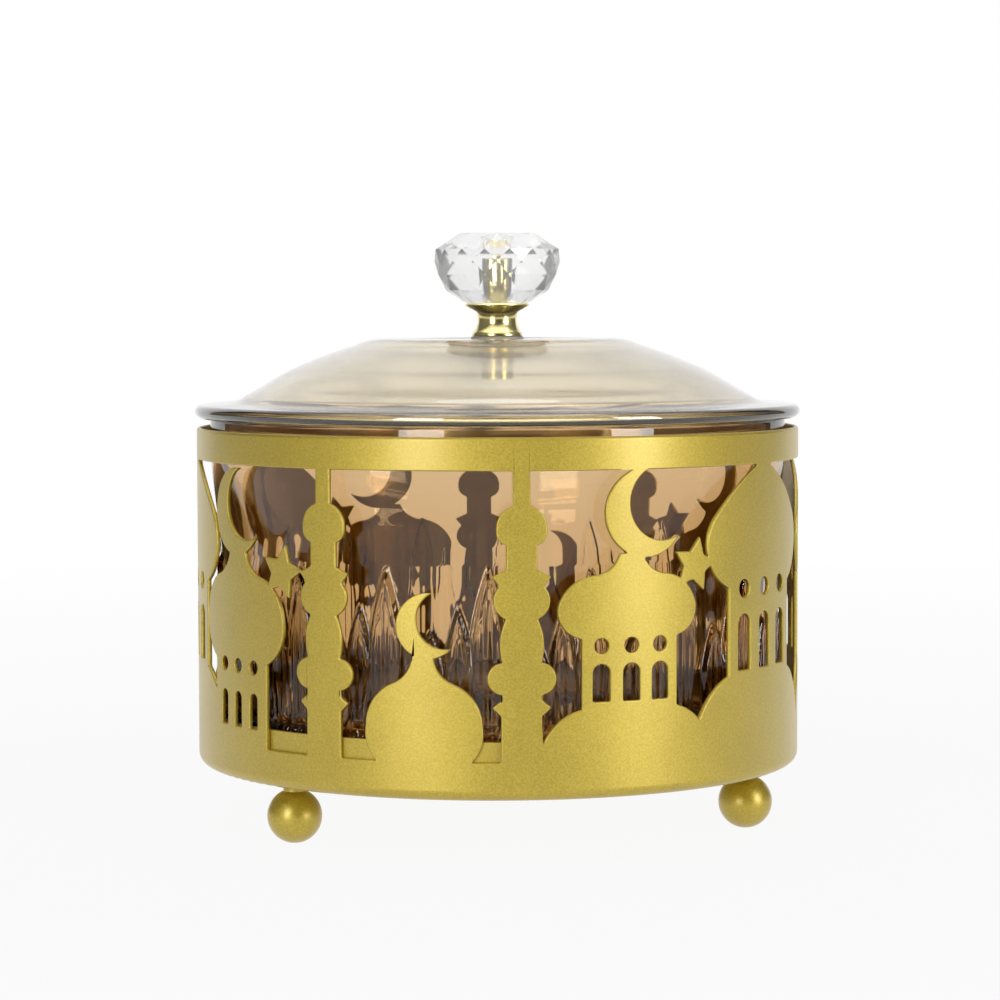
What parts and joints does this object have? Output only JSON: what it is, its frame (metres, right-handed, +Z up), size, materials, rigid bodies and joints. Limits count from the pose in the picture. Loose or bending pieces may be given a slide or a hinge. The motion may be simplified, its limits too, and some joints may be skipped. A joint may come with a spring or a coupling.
{
  "type": "lidded snack dish",
  "caption": "Round snack dish: a pressed glass bowl in a pierced metal band stand on ball feet, with a domed glass lid and a faceted knob.",
  "frame": {"origin": "on the round axis, at the surface that the ball feet stand on", "axes": "+Z up along the round axis, -Y towards the viewer of the picture, +X to the viewer's right"},
  "size_m": [0.1448, 0.1448, 0.14],
  "materials": {
    "gold_paint": "satin metallic",
    "amber_glass": "clear gloss",
    "smoke_glass": "clear gloss",
    "crystal": "cut and polished",
    "gold_plate": "polished",
    "steel": "plain",
    "seal": "translucent silicone"
  },
  "bodies": {
    "stand": {"stand_band": "gold_paint", "base_pan": "gold_paint", "foot_left": "gold_paint", "foot_right": "gold_paint", "foot_back": "gold_paint", "foot_screws": "steel"},
    "bowl": {"glass_bowl": "amber_glass"},
    "lid": {"glass_lid": "smoke_glass", "stem_seal": "seal", "lid_seal": "seal", "steel_washer": "steel", "knob_screw": "gold_plate", "knob_stem": "gold_plate", "knob_crystal": "crystal"}
  },
  "joints": [
    {"name": "bowl_lift", "type": "slide", "parent": "stand", "child": "bowl", "axis": [0, 0, 1], "range_m": [0, 0.095]},
    {"name": "lid_lift", "type": "slide", "parent": "bowl", "child": "lid", "axis": [0, 0, 1], "range_m": [0, 0.06]}
  ]
}
